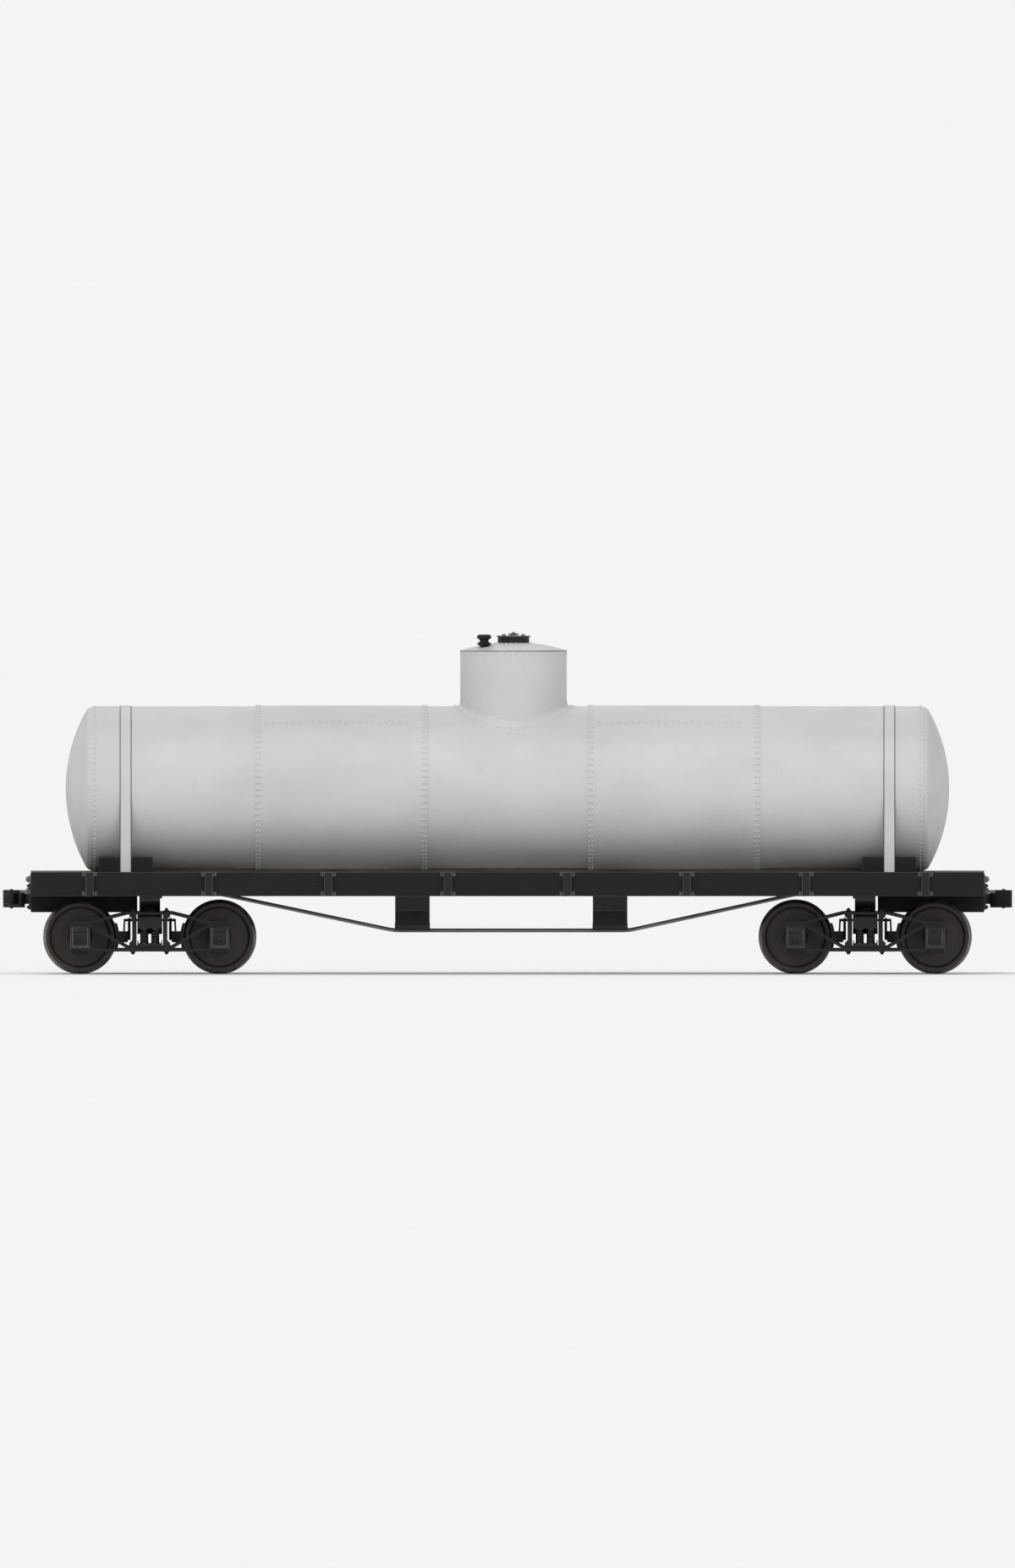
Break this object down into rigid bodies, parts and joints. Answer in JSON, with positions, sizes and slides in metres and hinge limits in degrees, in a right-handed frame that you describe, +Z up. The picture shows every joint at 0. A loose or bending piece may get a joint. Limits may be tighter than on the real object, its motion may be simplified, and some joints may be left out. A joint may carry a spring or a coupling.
{
  "type": "railway tank car with a timber underframe",
  "caption": "Four-axle railway tank car: riveted steel tank with an expansion dome on a timber frame with truss rods, arch-bar trucks and knuckle couplers.",
  "frame": {"origin": "on the floor under the middle of the car, at the lowest points of the wheel flanges", "axes": "+X runs along the car, +Y across it and +Z up; the side seen in the drawing faces -Y"},
  "size_m": [12.13, 2.7902, 4.1099],
  "materials": {
    "grey_paint": "light grey oil paint on riveted steel plate, slightly worn",
    "black_timber": "sawn timber painted black, grain showing through",
    "oak_timber": "bare weathered oak, greyed and stained",
    "black_iron": "cast and forged iron painted black, dusty in the corners",
    "dark_iron": "wrought iron and steel with a thin worn dark coat",
    "wheel_iron": "chilled cast iron, rusty brown on the plate and bright on the tread"
  },
  "bodies": {
    "car_body": {"tank_shell": "grey_paint", "tank_heads": "grey_paint", "dome_shell": "grey_paint", "dome_crown": "grey_paint", "manhole_neck": "black_iron", "safety_valve": "black_iron", "tank_bands": "grey_paint", "tank_saddles": "black_timber", "tank_bearers": "oak_timber", "side_sills": "black_timber", "inner_sills": "oak_timber", "end_sills": "black_timber", "stake_pockets": "black_iron", "deck_boards": "oak_timber", "body_bolsters": "black_iron", "queen_posts": "black_timber", "truss_rods": "dark_iron", "draft_timbers": "black_timber", "draft_gear": "black_iron", "couplers": "black_iron", "air_brake": "black_iron", "brake_rods": "dark_iron", "brake_pipe": "dark_iron", "bottom_fittings": "black_iron"},
    "dome_cover": {"manhole_cover": "dark_iron", "cover_screw": "dark_iron"},
    "knuckle_a": {"knuckle_a": "black_iron"},
    "knuckle_b": {"knuckle_b": "black_iron"},
    "truck_a": {"truck_a_frames": "black_iron", "truck_a_bolster": "black_iron", "truck_a_springs": "black_iron", "truck_a_journal_boxes": "black_iron", "truck_a_brake_beams": "black_iron"},
    "wheelset_a1": {"axle_a1": "wheel_iron", "wheels_a1": "wheel_iron"},
    "wheelset_a2": {"axle_a2": "wheel_iron", "wheels_a2": "wheel_iron"},
    "truck_b": {"truck_b_frames": "black_iron", "truck_b_bolster": "black_iron", "truck_b_springs": "black_iron", "truck_b_journal_boxes": "black_iron", "truck_b_brake_beams": "black_iron"},
    "wheelset_b1": {"axle_b1": "wheel_iron", "wheels_b1": "wheel_iron"},
    "wheelset_b2": {"axle_b2": "wheel_iron", "wheels_b2": "wheel_iron"}
  },
  "joints": [
    {"name": "cover_hinge", "type": "hinge", "parent": "car_body", "child": "dome_cover", "pos_m": [0.072, 0.231, 4.057], "axis": [-1, 0, 0], "range_deg": [0, 110]},
    {"name": "knuckle_a_hinge", "type": "hinge", "parent": "car_body", "child": "knuckle_a", "pos_m": [-5.962, -0.104, 0.901], "axis": [0, 0, 1], "range_deg": [0, 50]},
    {"name": "knuckle_b_hinge", "type": "hinge", "parent": "car_body", "child": "knuckle_b", "pos_m": [5.962, 0.104, 0.901], "axis": [0, 0, 1], "range_deg": [0, 50]},
    {"name": "truck_a_swivel", "type": "hinge", "parent": "car_body", "child": "truck_a", "pos_m": [-4.3, 0, 0.708], "axis": [0, 0, 1], "range_deg": [-8, 8]},
    {"name": "wheelset_a1_roll", "type": "hinge", "parent": "truck_a", "child": "wheelset_a1", "pos_m": [-5.138, 0, 0.444], "axis": [0, 1, 0], "continuous": true},
    {"name": "wheelset_a2_roll", "type": "hinge", "parent": "truck_a", "child": "wheelset_a2", "pos_m": [-3.462, 0, 0.444], "axis": [0, 1, 0], "continuous": true},
    {"name": "truck_b_swivel", "type": "hinge", "parent": "car_body", "child": "truck_b", "pos_m": [4.3, 0, 0.708], "axis": [0, 0, 1], "range_deg": [-8, 8]},
    {"name": "wheelset_b1_roll", "type": "hinge", "parent": "truck_b", "child": "wheelset_b1", "pos_m": [5.138, 0, 0.444], "axis": [0, 1, 0], "continuous": true},
    {"name": "wheelset_b2_roll", "type": "hinge", "parent": "truck_b", "child": "wheelset_b2", "pos_m": [3.462, 0, 0.444], "axis": [0, 1, 0], "continuous": true}
  ]
}
